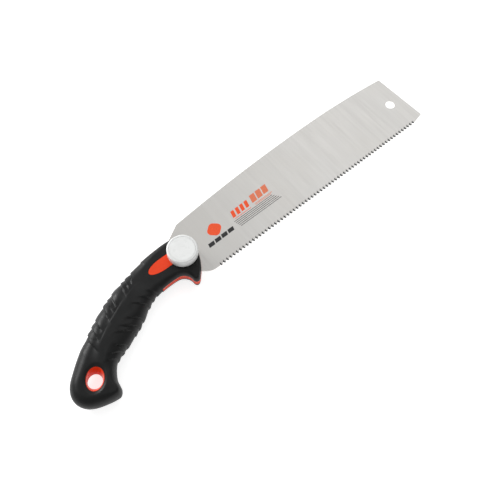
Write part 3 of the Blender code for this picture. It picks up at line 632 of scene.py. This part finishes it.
class Edge:
    """The handle's outline at one spacing, with what the rounded edge above it needs."""

    def __init__(self, step):
        self.points = smooth_outline(step)
        self.count = len(self.points)
        along = np.roll(self.points, -1, 0)[:, :2] - np.roll(self.points, 1, 0)[:, :2]
        along /= np.linalg.norm(along, axis=1)[:, None]
        self.inward = np.column_stack([-along[:, 1], along[:, 0]])
        self.bare = self.points[:, 0] > RIM_END_X

    def crest(self, inset):
        """Where the edge's rounding ends: x, y and height."""
        rounding = np.maximum(self.points[:, 2] - inset, LEAST_ROUNDING)
        spot = self.points[:, :2] + self.inward * (inset + rounding)[:, None]
        return spot, half_thickness(spot[:, 0]) - inset

    def loop(self, inset, base, angle):
        """The loop at that angle up the rounded edge: 0 is at base, a right angle at the crown."""
        rounding = np.maximum(self.points[:, 2] - inset, LEAST_ROUNDING)
        spot = self.points[:, :2] + self.inward * (inset + rounding * (1 - np.cos(angle)))[:, None]
        height = base + (self.crest(inset)[1] - base) * np.sin(angle)
        return np.column_stack([spot, height])


class Shell:
    """Gathers the loops and patches of one half of the handle; side is 1 in front and -1 behind."""

    def __init__(self, side):
        self.side = side
        self.vertices = []
        self.faces = []

    def add(self, points):
        start = len(self.vertices)
        self.vertices += [(x, y, z * self.side) for x, y, z in points]
        return start

    def bridge(self, low, high, count):
        for i in range(count):
            j = (i + 1) % count
            self.faces.append([low + i, low + j, high + j, high + i])

    def dome(self, loops, holes, step, inset):
        """Edge loops from the bottom up, closed by a patch. Returns where the lowest loop and holes start."""
        count = len(loops[0])
        starts = [self.add(loop) for loop in loops[:-1]]
        flat, faces = patch(loops[-1], holes, step)
        heights = half_thickness(flat[:, 0]) - inset
        heights[:count] = loops[-1][:, 2]
        starts.append(self.add(np.column_stack([flat, heights])))
        self.faces += [[starts[-1] + i for i in face] for face in faces]
        for low, high in zip(starts, starts[1:]):
            self.bridge(low, high, count)
        mouths = []
        start = starts[-1] + count
        for hole in holes:
            mouths.append(start)
            start += len(hole)
        return starts[0], mouths

    def floor(self, start, count):
        """Closes the loop at start with a flat patch."""
        border = [Vector((*self.vertices[start + i][:2], 0)) for i in range(count)]
        self.faces += [[start + i for i in face] for face in tessellate_polygon([border])]


# ---------------------------------------------------------------- ribs


def spine_place(points):
    """For each point its place along the grip's middle line, and its distance from it, positive above."""
    line = np.array(SPINE) * MM
    best = np.full(len(points), np.inf)
    along = np.zeros(len(points))
    across = np.zeros(len(points))
    start = 0.0
    last = len(line) - 2
    for k, (a, b) in enumerate(zip(line, line[1:])):
        length = np.hypot(*(b - a))
        heading = (b - a) / length
        t = (points - a) @ heading
        clipped = np.clip(t, 0.0 if k else -np.inf, np.inf if k == last else length)
        offset = points - a - clipped[:, None] * heading
        distance = np.hypot(*offset.T)
        closer = distance < best
        best[closer] = distance[closer]
        along[closer] = start + clipped[closer]
        above = heading[0] * offset[:, 1] - heading[1] * offset[:, 0]
        across[closer] = -np.sign(above[closer]) * distance[closer]
        start += length
    return along, across


def rib_phase(along, across):
    """The same all along a rib, which slants from the spine towards the head as it nears the edge."""
    return along + np.abs(across) * RIB_SLANT


def ribs_at(rule, side):
    """The ribs that meet the upper (1) or the lower (-1) edge: each one's phase and its rank in its group."""
    edge = smooth_outline(SKIN_STEP)[:, :2]
    along, across = spine_place(edge)
    edge_phase = rib_phase(along, across)
    chosen = np.flatnonzero(across * side > 0)
    first, group_step = rule
    found = []
    for group in range(RIB_GROUPS):
        for rank in range(RIBS_IN_GROUP):
            x = first + group * group_step - rank * RIB_STEP
            i = chosen[np.argmin(np.abs(edge[chosen, 0] - x))]
            found.append((edge_phase[i], rank))
    return found


def rib_depth(points):
    """How deep the rubber is let in at each point: it drops at each rib and rises again towards the next."""
    along, across = spine_place(points)
    phase = rib_phase(along, across)
    share = np.abs(across) / RIB_REACH
    depth = np.zeros(len(points))
    for side, rule in ((1, UPPER_RIBS), (-1, LOWER_RIBS)):
        for start, rank in ribs_at(rule, side):
            past = phase - start
            falling = smooth(-RIB_DROP, 0.0, past)
            length = RIB_TAIL if rank == RIBS_IN_GROUP - 1 else RIB_STEP
            rising = 1.0 - np.clip(past / length, 0.0, 1.0) ** RIB_CURVE
            fade_in = RIB_SHARES[0] - RIB_LENGTHENING * rank
            reach = smooth(fade_in, RIB_SHARES[1], share)
            depth = np.maximum(depth, RIB_DEPTH * falling * rising * reach * (across * side > 0))
    low, high, crease = CREASE
    span = smooth(*CREASE_SPAN[:2], along) * (1 - smooth(*CREASE_SPAN[2:], along))
    return np.maximum(depth, crease * span * smooth(low, high, share) * (across > 0))


# ---------------------------------------------------------------- skins


def window_outline(grow):
    """The window without the stretch that the boss covers: half an ellipse and straight sides."""
    x, y = WINDOW_CENTRE
    half, nose = WINDOW_HALF + grow, WINDOW_NOSE + grow
    turns = [pi / 2 + pi * k / 40 for k in range(41)]
    back = [(x + nose * cos(a), y + half * sin(a)) for a in turns]
    return back + [(WINDOW_FRONT_X, y - half), (WINDOW_FRONT_X, y + half)]


def keyhole():
    """The skin's opening round the boss and the window, as one outline."""
    boss = BOSS_RADIUS + FIT_GAP
    x, y = WINDOW_CENTRE
    half = WINDOW_HALF + WINDOW_SEAM
    upper = asin((y + half) / boss)
    lower = asin((y - half) / boss)
    return arc(boss, -pi - lower, pi - upper, 72) + window_outline(WINDOW_SEAM)[:-2]


def oval(long, wide, shift):
    """An oval round the hanging hole, moved by that share of its mouth's shift."""
    turn = Matrix.Rotation(EYE_TURN, 2)
    centre = Vector(EYE) + Vector(EYE_SHIFT) * shift
    turns = [tau * k / EYE_SIDES for k in range(EYE_SIDES)]
    return [tuple(turn @ Vector((long * cos(a), wide * sin(a))) + centre) for a in turns]


def eye_mouth(grow, side):
    return oval(EYE_MOUTH[0] + grow, EYE_MOUTH[1] + grow, side)


def sunk(points, heights, side):
    """Heights lowered towards the hanging hole, so that the rubber slopes into it."""
    spots = (points - np.array(EYE) - np.array(EYE_SHIFT) * side) @ np.array(Matrix.Rotation(EYE_TURN, 2))
    share = np.hypot(spots[:, 0] / EYE_MOUTH[0], spots[:, 1] / EYE_MOUTH[1])
    distance = (share - 1.0) * sqrt(EYE_MOUTH[0] * EYE_MOUTH[1])
    width, depth = EYE_DISH
    return heights - depth * (1.0 - smooth(EYE_WALL, EYE_WALL + width, distance))


def build_skin(name, node, side):
    """One half of the rubber skin: ribbed outside and plain inside. It is open at the hanging hole, and at
    the knob's boss and the window in front or at the disc and the screws behind."""
    edge = Edge(SKIN_STEP)
    near_rim = edge.bare | np.roll(edge.bare, 1) | np.roll(edge.bare, -1)
    base = np.where(near_rim, RIM_HALF + RIM_SEAM, PARTING_GAP)
    eye = eye_mouth(EYE_WALL + FIT_GAP / 3, side)
    holes = [keyhole() if side > 0 else circle(COVER_RADIUS + 2 * FIT_GAP, sides=72), eye]
    holes = [np.array(hole) for hole in holes]
    shell = Shell(side)
    turns = [pi / 2 * k / SKIN_LEVELS for k in range(SKIN_LEVELS + 1)]
    outer, mouths = shell.dome([edge.loop(0.0, base, a) for a in turns], holes, SKIN_STEP, 0.0)
    outside = len(shell.vertices)
    turns = [pi / 2 * k / CORE_LEVELS for k in range(CORE_LEVELS + 1)]
    loops = [edge.loop(SKIN_THICKNESS, base, a) for a in turns]
    inner, throats = shell.dome(loops, holes, CORE_PATCH, SKIN_THICKNESS)
    shell.bridge(outer, inner, edge.count)
    for hole, mouth, throat in zip(holes, mouths, throats):
        shell.bridge(mouth, throat, len(hole))
    mesh = mesh_of(name, shell.vertices, shell.faces)
    spots = np.array([v.co for v in mesh.vertices])
    normals = np.array([v.normal for v in mesh.vertices])
    normals[: edge.count, 2] = 0.0
    normals /= np.linalg.norm(normals, axis=1)[:, None]
    depth = rib_depth(spots[:, :2])
    depth[outside:] = 0.0
    moved = spots - normals * depth[:, None]
    moved[:, 2] = side * sunk(moved[:, :2], moved[:, 2] * side, side)
    mesh.vertices.foreach_set("co", moved.ravel())
    mesh.update()
    if side < 0:
        rods = []
        for x, y in SHELL_SCREWS:
            outline = circle(SHELL_HEAD_RADIUS + FIT_GAP, (x * MM, y * MM), SCREW_SIDES)
            rods.append(("DIFFERENCE", prism("rod", outline, -GRIP_HALF - OVERCUT, 0.0)))
        mesh = applied(mesh, *rods)
    mesh.set_sharp_from_angle(angle=SKIN_SHARP)
    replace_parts(piece(name, mesh, "handle", "black_rubber", RUBBER), node)


# ---------------------------------------------------------------- cores


def core_dome(name, side):
    """A core half: a dome under the skin, on a rim that comes out at the head's edge."""
    edge = Edge(CORE_STEP)
    base = np.where(edge.bare, RIM_HALF, PARTING_GAP)
    top = edge.crest(CORE_INSET)[1]
    rise = np.arcsin((RIM_HALF - base) / (top - base))
    foot = np.where(edge.bare[:, None], edge.points[:, :2], edge.loop(CORE_INSET, base, 0.0)[:, :2])
    rim = np.where(edge.bare[:, None], edge.points[:, :2], edge.loop(CORE_INSET, base, rise)[:, :2])
    low = np.full(edge.count, PARTING_GAP)
    loops = [np.column_stack([foot, low]), np.column_stack([rim, np.full(edge.count, RIM_HALF)])]
    start = np.where(edge.bare, rise, rise + CORE_LIFT)
    for k in range(CORE_LEVELS + 1):
        loops.append(edge.loop(CORE_INSET, base, start + (pi / 2 - start) * k / CORE_LEVELS))
    shell = Shell(side)
    shell.floor(shell.dome(loops, [], CORE_PATCH, CORE_INSET)[0], edge.count)
    return mesh_of(name, shell.vertices, shell.faces)


def eye_height():
    return half_thickness(EYE[0]) - EYE_SINK


def eye_cutter(side):
    """The hanging hole in one half: narrow at the middle plane and flared to its mouth."""
    height = eye_height()
    rings = [(0.0, -OVERCUT)]
    for k in range(EYE_LEVELS + 1):
        rings.append(((k / EYE_LEVELS) ** EYE_FLARE, PARTING_GAP + (height - PARTING_GAP) * k / EYE_LEVELS))
    rings.append((1.0, height + OVERCUT))
    outlines = []
    for t, z in rings:
        long, wide = (EYE_THROAT + (mouth - EYE_THROAT) * t for mouth in EYE_MOUTH)
        outlines.append([(x, y, z * side) for x, y in oval(long, wide, t * side)])
    return stacked("eye", outlines)


def head_seat(x):
    return half_thickness(x) - SHELL_HEAD_SINK - SHELL_HEAD_HEIGHT


def build_core(name, node, side):
    """One half of the nylon handle, with its cavities for the pivot, the nut, the blade and the screws."""

    def rod(radius, bottom, top, centre=(0.0, 0.0)):
        return prism("rod", circle(radius, centre), bottom * side, top * side)

    steps = [("UNION", rod(BOSS_RADIUS, RIM_HALF, HEAD_HALF))]
    wall = prism("eye wall", eye_mouth(EYE_WALL, side), PARTING_GAP * side, eye_height() * side)
    steps.append(("UNION", wall))
    if side > 0:
        steps.append(("UNION", prism("window", window_outline(0.0), RIM_HALF, HEAD_HALF)))
    steps.append(("DIFFERENCE", eye_cutter(side)))
    steps.append(("DIFFERENCE", rod(SLOT_REACH, -OVERCUT, SLOT_HALF)))
    steps.append(("DIFFERENCE", rod(THRUST_SEAT[0], -OVERCUT, THRUST_SEAT[1])))
    steps.append(("DIFFERENCE", rod(SCREW_BORE, -OVERCUT, HEAD_HALF + OVERCUT)))
    steps.append(("DIFFERENCE", rod(BUSH_BORE, -OVERCUT, BUSH_TOP if side > 0 else BUSH_BASE)))
    if side < 0:
        steps.append(("DIFFERENCE", rod(COVER_RADIUS + OVERCUT / 10, NUT_REAR, HEAD_HALF + OVERCUT)))
        steps.append(("DIFFERENCE", prism("nut", hexagon(NUT_FLATS), -HEAD_HALF, -NUT_FRONT)))
    for x, y in SHELL_SCREWS:
        spot = (x * MM, y * MM)
        seat = head_seat(spot[0])
        if side < 0:
            steps.append(("DIFFERENCE", rod(SHELL_HEAD_RADIUS + FIT_GAP, seat, GRIP_HALF, spot)))
        depth = GRIP_HALF if side < 0 else SHELL_SCREW_BITE + FIT_GAP  # through behind, blind in front
        steps.append(("DIFFERENCE", rod(SHELL_SCREW_RADIUS + FIT_GAP / 3, -OVERCUT, depth, spot)))
    mesh = applied(core_dome(name, side), *steps)
    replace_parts(piece(name, mesh, "handle", "orange_nylon", ORANGE), node)


def build_nut_cover():
    """A disc with a rounded rim and a shallow dish in its face."""
    r, lip, face, back = COVER_RADIUS, COVER_LIP, -HEAD_HALF, -HEAD_HALF + COVER_THICKNESS
    rows = [(r * 0.62, face + lip), (r * 0.66, face), (r - 2 * lip, face), (r - lip / 2, face + lip / 2)]
    rows += [(r, face + 2 * lip), (r, back)]
    mesh = shaft("rear_disc", rows)
    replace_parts(piece("rear_disc", mesh, "handle", "orange_nylon", ORANGE), "nut_cover")


def cross_recess(radius):
    long, wide = radius * 0.62, radius * 0.15
    arm = [(long, -wide), (long, wide), (wide, wide)]
    quarters = [Matrix.Rotation(turn * pi / 2, 2) for turn in range(4)]
    return [tuple(quarter @ Vector(p)) for quarter in quarters for p in arm]


def build_shell_screws():
    """Pan-head screws with a crowned head, a cross recess and a threaded shank."""
    for i, (x, y) in enumerate(SHELL_SCREWS):
        seat = -head_seat(x * MM)
        face = seat - SHELL_HEAD_HEIGHT
        rows = [
            (SHELL_HEAD_RADIUS * (1 - 0.45 * (1 - t) ** 2), face + SHELL_HEAD_HEIGHT * 0.55 * t)
            for t in (0.0, 0.2, 0.45, 0.7, 1.0)
        ]
        rows += [(SHELL_HEAD_RADIUS, seat), (SHELL_SCREW_RADIUS * 0.8, seat)]
        turns = int((SHELL_SCREW_BITE - OVERCUT - seat) / SHELL_SCREW_PITCH)
        for k in range(turns):
            z = seat + (k + 0.5) * SHELL_SCREW_PITCH
            rows += [(SHELL_SCREW_RADIUS, z), (SHELL_SCREW_RADIUS * 0.75, z + SHELL_SCREW_PITCH * 0.5)]
        rows.append((SHELL_SCREW_RADIUS * 0.3, SHELL_SCREW_BITE))
        floor = face + SHELL_HEAD_HEIGHT / 2
        recess = prism("recess", cross_recess(SHELL_HEAD_RADIUS), face - OVERCUT, floor)
        mesh = applied(shaft("screw", rows, sides=SCREW_SIDES), ("DIFFERENCE", recess))
        mesh.transform(Matrix.Translation((x * MM, y * MM, 0)))
        made = piece(f"pan_screw_{i + 1}", mesh, "handle", "zinc_steel", ZINC)
        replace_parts(made, f"shell_screw_{i + 1}")


# ---------------------------------------------------------------- blade


def back_edge():
    """The convex back between the tip and the shoulder: two parabolas that meet at the crest."""
    near_tip = [(TIP_TOP, 1 - k / BACK_STEPS) for k in range(1, BACK_STEPS + 1)]
    near_shoulder = [(SHOULDER, k / BACK_STEPS) for k in range(1, BACK_STEPS)]
    points = []
    for end, t in near_tip + near_shoulder:
        x = BACK_CREST[0] + (end[0] - BACK_CREST[0]) * t
        points.append((x, BACK_CREST[1] + (end[1] - BACK_CREST[1]) * t * t))
    return points


def teeth(shear, file):
    """Gullets and tips, moved along the blade by shear, with the gullets cut deeper by file. The last tip is
    a little higher: the blade's plain corner starts there."""
    points = []
    root = TOOTH_TIP_Y + TOOTH_DEPTH + file
    for k in range(TOOTH_COUNT + 1):
        gullet = FIRST_TOOTH_X + k * TOOTH_PITCH
        rise = LAND_RISE if k == TOOTH_COUNT else 0.0
        points.append((gullet + shear, root))
        points.append((gullet + TOOTH_LEAN * TOOTH_PITCH + shear * TIP_SHEAR, TOOTH_TIP_Y + rise))
    return points


def sharp(points):
    return [(x, y, 0) for x, y in points]


def blade_outline(shear, file):
    tail = arc(TAIL_RADIUS, *TAIL_ARC, 36)
    corners = sharp(tail + [HEEL_END]) + [(*HEEL, HEEL_RADIUS), (FIRST_TOOTH_X, HEEL[1], 0)]
    corners += sharp(teeth(shear, file)) + [(*TIP_FOOT, FOOT_RADIUS), (*TIP_TOP, TIP_RADIUS)]
    corners += sharp(back_edge()) + [(*SHOULDER, SHOULDER_RADIUS), (*SHOULDER_END, 0)]
    return rounded(corners)


def stop_slot():
    low, high = STOP_ARC
    outline = arc(STOP_ORBIT + STOP_WIDTH, low, high, 32)
    end = arc(STOP_ORBIT, high, high, 1)[0]
    outline += arc(STOP_WIDTH, high, high + pi, 12, end)[1:-1]
    outline += arc(STOP_ORBIT - STOP_WIDTH, high, low, 32)
    end = arc(STOP_ORBIT, low, low, 1)[0]
    return outline + arc(STOP_WIDTH, low + pi, low + tau, 12, end)[1:-1]


def build_blade():
    """The plate: its two faces differ at the teeth, so that the filed flanks slant between them."""
    holes = [np.array(h) for h in (circle(BUSH_BORE), stop_slot(), circle(TIP_HOLE_RADIUS, TIP_HOLE))]
    vertices, faces = [], []
    starts = []
    for shear, file, z in ((0.0, 0.0, -BLADE_HALF), (TOOTH_SHEAR, TOOTH_FILE, BLADE_HALF)):
        border = np.array(blade_outline(shear, file))
        flat, triangles = patch(border, holes, BLADE_PATCH)
        starts.append(len(vertices))
        vertices += [(x, y, z) for x, y in flat]
        faces += [[starts[-1] + i for i in face] for face in triangles]
    rims = []
    first = 0
    for loop in (border, *holes):
        rims.append((first, len(loop)))
        first += len(loop)
    for first, count in rims:
        for i in range(count):
            j = (i + 1) % count
            low, high = starts[0] + first, starts[1] + first
            faces.append([low + i, low + j, high + j, high + i])
    mesh = mesh_of("saw_blade", vertices, faces, BLADE_SHARP)
    blade = piece("saw_blade", mesh, "blade", "saw_steel", SAW_STEEL, TEMPERED_AND_SHADED)
    # painted shade: the faces picked out here by their slant below the gullets get the darker steel, for the
    # dark reflections they show, over the hardened teeth's own tone
    gullet_y = TOOTH_TIP_Y + TOOTH_DEPTH + TOOTH_FILE + 0.1 * MM
    for face in mesh.polygons:
        flank = abs(face.normal.z) < FLANK_NORMAL and face.center.y < gullet_y
        face.material_index = int(flank and FIRST_TOOTH_X < face.center.x < TIP_FOOT[0] - TIP_RADIUS)
    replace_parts(blade, "blade")


def slanted(x, y, width, height):
    """A parallelogram that leans towards the tip."""
    lean = height * PRINT_SLANT
    return [(x, y), (x + width, y), (x + width + lean, y + height), (x + lean, y + height)]


def print_piece(name, outlines, material):
    """Thin prints on the blade's front face, all of one ink."""
    vertices, faces = [], []
    low, high = BLADE_HALF + PRINT_FLOAT, BLADE_HALF + PRINT_FLOAT + PRINT_THICKNESS
    for outline in outlines:
        count = len(outline)
        start = len(vertices)
        vertices += [(x * MM, y * MM, z) for z in (low, high) for x, y in outline]
        faces.append([start + i for i in reversed(range(count))])
        faces.append([start + count + i for i in range(count)])
        for i in range(count):
            j = (i + 1) % count
            faces.append([start + i, start + j, start + count + j, start + count + i])
    piece(name, mesh_of(name, vertices, faces), "blade", "saw_steel", material)


def build_prints():
    """Plain generic marks: a badge with a bar below it, a row of slanted stripes, and ruled lines."""
    badge = rounded([(38.6, -3.6, 4.0), (48.4, 4.3, 4.0), (39.2, 12.0, 4.0), (29.4, 4.3, 4.0)])
    print_piece("print_badge", [badge], INK_ORANGE)
    bars = [slanted(24.0 + 7.6 * k, -8.2 + 0.2 * k, 6.4, 3.9) for k in range(4)]
    print_piece("print_bar", bars, INK_DARK)
    stripes = [slanted(60.0 + 5.4 * k, 2.2 + 0.2 * k, 3.6, 7.0) for k in range(4)]
    stripes += [slanted(61.0, 0.4, 19.0, 0.5)]
    print_piece("print_stripes", stripes, INK_ORANGE)
    pale = [slanted(84.0 + 7.2 * k, 3.4 + 0.3 * k, 5.9, 8.0) for k in range(3)]
    pale += [slanted(85.0, 1.2, 21.0, 0.5), slanted(85.0, 0.0, 19.0, 0.5)]
    print_piece("print_pale_stripes", pale, INK_PALE)
    lines = [slanted(58.0 + 0.6 * k, -1.6 - 1.75 * k, 46.0 + 0.8 * k, 0.55) for k in range(5)]
    print_piece("print_lines", lines, INK_GREY)


# ---------------------------------------------------------------- knob


def quarter(radius, z, size, steps=8):
    """A rounded upper edge of a profile, from the side to the face."""
    turns = [pi / 2 * k / steps for k in range(steps + 1)]
    return [(radius - size * (1 - cos(a)), z - size * (1 - sin(a))) for a in turns]


def build_knob():
    """The knob's body: a smooth side with a soft rim, hollow below and with a pocket for the screw's head."""
    hollow, ceiling = KNOB_HOLLOW
    rows = [(SCREW_BORE, ceiling), (hollow, ceiling), (hollow, KNOB_BASE)]
    rows.append((KNOB_RADIUS - KNOB_FOOT, KNOB_BASE))
    rows.append((KNOB_RADIUS - KNOB_FOOT * 0.3, KNOB_BASE + KNOB_FOOT * 0.3))
    rows.append((KNOB_RADIUS, KNOB_BASE + KNOB_FOOT))
    rows += quarter(KNOB_RADIUS, KNOB_TOP, KNOB_ROUND)
    rows += [(CAP_RADIUS + CAP_SEAM, KNOB_TOP), (CAP_RADIUS + CAP_SEAM, CAP_BASE), (SCREW_BORE, CAP_BASE)]
    pocket = prism("pocket", hexagon(NUT_FLATS), ceiling + KNOB_WEB, KNOB_TOP)
    mesh = applied(ring("knob", rows), ("DIFFERENCE", pocket))
    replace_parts(piece("knob_shell", mesh, "knob", "white_nylon", WHITE), "knob_body")


def build_cap():
    """The disc in the knob's face, slightly dished in the middle, with a soft edge. Its white is a lighter
    copy of the knob's nylon: a painted highlight for the face's brighter light.
    """
    rows = [(CAP_RADIUS, CAP_BASE)] + quarter(CAP_RADIUS, KNOB_TOP, CAP_EDGE, 4)
    rows += [(CAP_RADIUS * k, KNOB_TOP - CAP_DISH * sqrt(1 - k)) for k in (0.9, 0.7, 0.5, 0.3, 0.1)]
    mesh = shaft("knob_disc", rows)
    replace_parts(piece("knob_disc", mesh, "knob", "white_nylon", WHITE_CAP_PAINTED_LIGHTER), "knob_cap")


# ---------------------------------------------------------------- stage


def dress_carried_nodes():
    """The steel pieces keep their CAD shape."""
    shown = ["clamp_screw", "clamp_washer", "spring_washer", "pivot_bush", "clamp_nut", "stop_pin"]
    for name in [*shown, "thrust_washer_front", "thrust_washer_rear"]:
        node = frame["nodes"][name]
        node.data.materials.clear()
        node.data.materials.append(ZINC)


def build_floor():
    """A plain pale floor under the saw."""
    mesh = bpy.data.meshes.new("floor")
    corners = [(x * FLOOR_HALF, y * FLOOR_HALF, 0) for x, y in ((-1, -1), (1, -1), (1, 1), (-1, 1))]
    mesh.from_pydata(corners, [], [(0, 1, 2, 3)])
    floor = bpy.data.objects.new("floor", mesh)
    bpy.context.scene.collection.objects.link(floor)
    floor.location = (0, 0, -FLOOR_DROP)
    material = bpy.data.materials.new("floor")
    material.use_nodes = True
    shader = material.node_tree.nodes["Principled BSDF"]
    shader.inputs["Base Color"].default_value = (0.75, 0.75, 0.75, 1)
    shader.inputs["Roughness"].default_value = 0.9
    shader.inputs["Specular IOR Level"].default_value = 0.1
    shader.inputs["Emission Color"].default_value = (1, 1, 1, 1)
    shader.inputs["Emission Strength"].default_value = 0.75
    mesh.materials.append(material)


def add_light(name, place, size, power):
    """A square soft light that faces the saw's middle."""
    data = bpy.data.lights.new(name, "AREA")
    data.size = size
    data.energy = power
    light = bpy.data.objects.new(name, data)
    bpy.context.scene.collection.objects.link(light)
    light.location = place
    light.rotation_mode = "QUATERNION"
    light.rotation_quaternion = (-Vector(place)).to_track_quat("-Z", "Y")


def build_stage():
    build_floor()
    world = bpy.data.worlds.new("studio")
    world.use_nodes = True
    background = world.node_tree.nodes["Background"]
    background.inputs["Color"].default_value = (1.0, 1.0, 1.0, 1.0)
    background.inputs["Strength"].default_value = 0.45
    bpy.context.scene.world = world
    add_light("key", (-0.35, 1.0, 0.55), 0.5, 12.0)
    add_light("top", (0.80, 0.5, 1.2), 1.1, 3.0)
    bpy.context.scene.view_settings.view_transform = "Standard"
    bpy.context.scene.view_settings.look = "None"


def build_camera():
    """The camera above the handle, turned so that the blade points up to the right."""
    data = bpy.data.cameras.new("camera")
    data.sensor_width = 36.0
    data.lens = LENS
    camera = bpy.data.objects.new("camera", data)
    bpy.context.scene.collection.objects.link(camera)
    turn = Matrix((CAMERA_RIGHT, CAMERA_UP, CAMERA_BACK)).transposed().to_4x4()
    camera.matrix_world = Matrix.Translation(PIVOT + Vector(CAMERA_PLACE)) @ turn
    bpy.context.scene.camera = camera


build_skin("grip_front", "skin_front", 1)
build_skin("grip_rear", "skin_rear", -1)
build_core("shell_front", "core_front", 1)
build_core("shell_rear", "core_rear", -1)
build_nut_cover()
build_shell_screws()
build_blade()
build_prints()
build_knob()
build_cap()
dress_carried_nodes()
build_stage()
build_camera()
